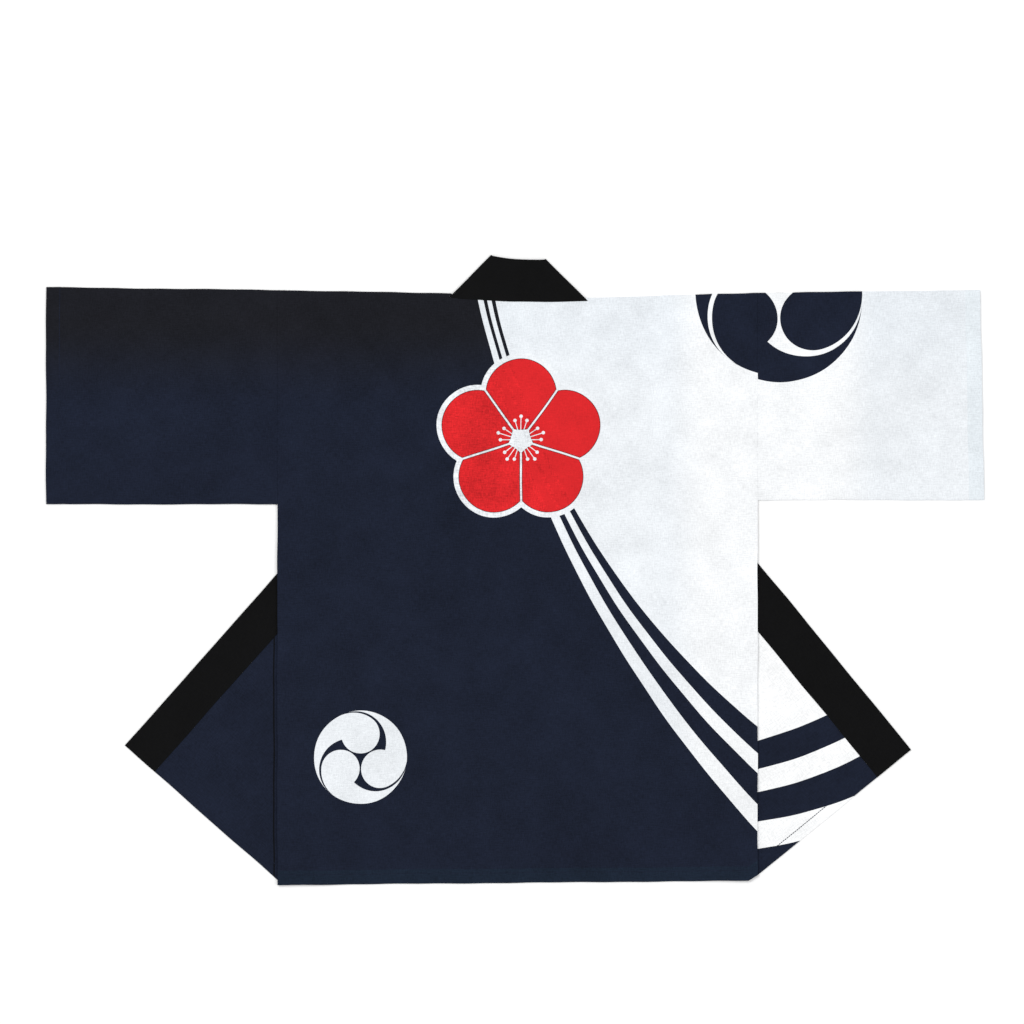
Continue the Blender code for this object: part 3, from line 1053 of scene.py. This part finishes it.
def painted_shade_and_light_tones(tree, x, y):
    """Navy and white as they change with place: each greyer near the fold, which is painted shade, and the
    white brighter on a stretch, which is painted light.
    """
    from_fold = compute(tree, "ABSOLUTE", y)
    from_middle = compute(tree, "SUBTRACT", x, PAINTED_LIGHT_MIDDLE)
    aside = compute(tree, "ABSOLUTE", from_middle)
    # The first share is painted shade near the fold, the second painted light on the white at the armhole
    fold_shade, bright = [
        add(
            tree,
            "ShaderNodeMapRange",
            {"Value": value, "From Min": limits[0], "From Max": limits[1]},
            interpolation_type="SMOOTHSTEP",
        )
        for value, limits in ((from_fold, FOLD_SHADE_RANGE), (aside, PAINTED_LIGHT_HALF_WIDTH))
    ]
    navy = laid_over(tree, fold_shade, linear(NAVY), linear(PAINTED_SHADE_NAVY))
    white = laid_over(tree, fold_shade, linear(WHITE), linear(PAINTED_SHADE_WHITE))
    return navy, laid_over(tree, bright, white, linear(PAINTED_LIGHT_WHITE))


def printed_body():
    """Plain woven cotton printed navy on white: matt, slightly mottled, crisp between the colours."""
    made, tree, point, x, y, from_hem = new_material("printed_plain_woven_cotton")
    # navy and white carry painted shade near the fold and painted light at the armhole
    navy, white_cloth = painted_shade_and_light_tones(tree, x, y)
    sweep = bands(tree, point, [circle_through(*[photo_point(*p) for p in arc]) for arc in SWEEP])
    rings = bands(tree, point, front_ring_circles())
    right = compute(tree, "GREATER_THAN", x, 0.0)
    front_white = compute(tree, "MULTIPLY", rings, right)
    front = compute(tree, "GREATER_THAN", y, FRONT_STARTS)
    ground = add(tree, "ShaderNodeMix", {0: front, 2: sweep, 3: front_white}, data_type="FLOAT")
    low = three_commas(tree, point, LOW_FIGURE)
    with_low = compute(tree, "MAXIMUM", ground, low)
    high = three_commas(tree, point, HIGH_FIGURE)
    white = compute(tree, "SUBTRACT", with_low, high, use_clamp=True)
    # painted light: the fronts' white is laid brighter than the back's
    whites = laid_over(tree, front, white_cloth, linear(PAINTED_LIGHT_TURNED_WHITE))
    doubled = compute(tree, "LESS_THAN", from_hem, HEM)
    doubled_back = compute(tree, "SUBTRACT", doubled, front, use_clamp=True)
    navies = laid_over(tree, doubled_back, navy, linear(HEM_NAVY))
    # painted shadow: a dark line on the left front beside the back's edge
    side_shadowed = laid_over(tree, painted_side_shadow(tree, point, LEFT), navies, linear(SIDE_SHADOW_COLOUR))
    dark = laid_over(tree, high, side_shadowed, linear(NAVY))
    decorated = blossom(tree, point, laid_over(tree, white, dark, whites))
    sewn, groove = stitched(tree, decorated, from_hem, HEM_STITCH, x, NAVY)
    speckle = add(tree, "ShaderNodeMix", {0: white, 2: DARK_SPECKLE, 3: WHITE_SPECKLE}, data_type="FLOAT")
    woven(tree, point, sewn, speckle, groove)
    return made


def navy_sleeve():
    """Plain woven cotton printed navy all over: matt and a little mottled, as such dyeing is."""
    made, tree, point, x, y, from_cuff = new_material("navy_plain_woven_cotton")
    # the navy carries painted shade near the shoulder fold
    navy, _ = painted_shade_and_light_tones(tree, x, y)
    sewn, groove = stitched(tree, navy, from_cuff, CUFF_STITCH, y, NAVY)
    woven(tree, point, sewn, DARK_SPECKLE, groove)
    return made


def white_sleeve():
    """Plain woven white cotton with part of a navy figure: its doubled cuff looks a little bluer."""
    made, tree, point, x, y, from_cuff = new_material("printed_white_cotton")
    # the white carries painted shade near the fold and painted light at the armhole
    _, white = painted_shade_and_light_tones(tree, x, y)
    doubled = compute(tree, "LESS_THAN", from_cuff, CUFF_HEM)
    plain = laid_over(tree, doubled, white, linear(CUFF_WHITE))
    figure = three_commas(tree, point, SLEEVE_FIGURE)
    printed = laid_over(tree, figure, plain, linear(NAVY))
    sewn, groove = stitched(tree, printed, from_cuff, CUFF_STITCH, y, CUFF_WHITE)
    speckle = add(tree, "ShaderNodeMix", {0: figure, 2: WHITE_SPECKLE, 3: DARK_SPECKLE}, data_type="FLOAT")
    woven(tree, point, sewn, speckle, groove)
    return made


def black_collar():
    """Close plain woven black cotton: deep black, with a faint thread relief in raking light."""
    made, tree, point, x, y, _ = new_material("black_close_woven_cotton")
    sewn, groove = stitched(tree, linear(BLACK), x, COLLAR_STITCH, y, BLACK)
    woven(tree, point, sewn, DARK_SPECKLE, groove)
    return made


def dress():
    """Builds the four pieces, puts them where the solids are, hangs them on the root body and hides the
    solids they stand for.
    """
    plans = {
        "body": (body_patches(), CLOTH, printed_body()),
        "sleeve_left": (sleeve_patches(LEFT), CLOTH, navy_sleeve()),
        "sleeve_right": (sleeve_patches(RIGHT), CLOTH, white_sleeve()),
        "collar": (collar_patches(), COLLAR, black_collar()),
    }
    everything = np.concatenate([p.reshape(-1, 3) for patches, _, _ in plans.values() for p, _ in patches])
    shift = -(everything.min(0) + everything.max(0))[:2] / 2
    made = {
        node: shell(f"{node}_cloth", patches, thickness, shift, material)
        for node, (patches, thickness, material) in plans.items()
    }
    for node, piece in made.items():
        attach(piece, "root")
        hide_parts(node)


# The studio: the floor, the light from all round, two soft lamps (place, size and power), and the
# camera over the middle of the photograph
FLOOR_HALF = 6.0
FLOOR_LEVEL = -0.0002
SKY_LIGHT = 0.62
LAMPS = {"key": ((-2.4, 2.1, 4.8), 3.4, 142), "fill": ((3.3, -0.9, 4.5), 3.4, 56)}
CAMERA_PLACE = (-0.0042, 0.0815, 10.0)
PHOTO_WIDTH = 1024
PAPER_WHITE = "#FFFFFF"
PAPER_ROUGHNESS = 0.9
PAPER_GLOSS = 0.1


def studio():
    """Pale floor, soft light from all round and above, and a camera that looks straight down."""
    scene = bpy.context.scene
    floor_mesh = bpy.data.meshes.new("floor")
    half, level = FLOOR_HALF, FLOOR_LEVEL
    corners = [(-half, -half, level), (half, -half, level), (half, half, level), (-half, half, level)]
    floor_mesh.from_pydata(corners, [], [(0, 1, 2, 3)])
    floor = bpy.data.objects.new("floor", floor_mesh)
    scene.collection.objects.link(floor)
    paper = bpy.data.materials.new("matt_white_paper")
    paper.use_nodes = True
    shader = paper.node_tree.nodes["Principled BSDF"]
    shader.inputs["Base Color"].default_value = linear(PAPER_WHITE)
    shader.inputs["Roughness"].default_value = PAPER_ROUGHNESS
    shader.inputs["Specular IOR Level"].default_value = PAPER_GLOSS
    floor_mesh.materials.append(paper)

    world = bpy.data.worlds.new("studio")
    world.use_nodes = True
    sky = world.node_tree.nodes["Background"]
    sky.inputs["Color"].default_value = (1, 1, 1, 1)
    sky.inputs["Strength"].default_value = SKY_LIGHT
    scene.world = world
    for name, (place, size, power) in LAMPS.items():
        light = bpy.data.lights.new(name, "AREA")
        light.shape = "DISK"
        light.size = size
        light.energy = power
        lamp = bpy.data.objects.new(name, light)
        lamp.location = place
        lamp.rotation_euler = (
            math.atan2(math.hypot(place[0], place[1]), place[2]),
            0,
            math.atan2(place[1], place[0]) + math.pi / 2,
        )
        scene.collection.objects.link(lamp)

    camera = bpy.data.cameras.new("camera")
    camera.lens = camera.sensor_width * CAMERA_PLACE[2] / (PHOTO_WIDTH * PIXEL)
    eye = bpy.data.objects.new("camera", camera)
    eye.location = CAMERA_PLACE
    scene.collection.objects.link(eye)
    scene.camera = eye
    scene.view_settings.view_transform = "Standard"


dress()
studio()
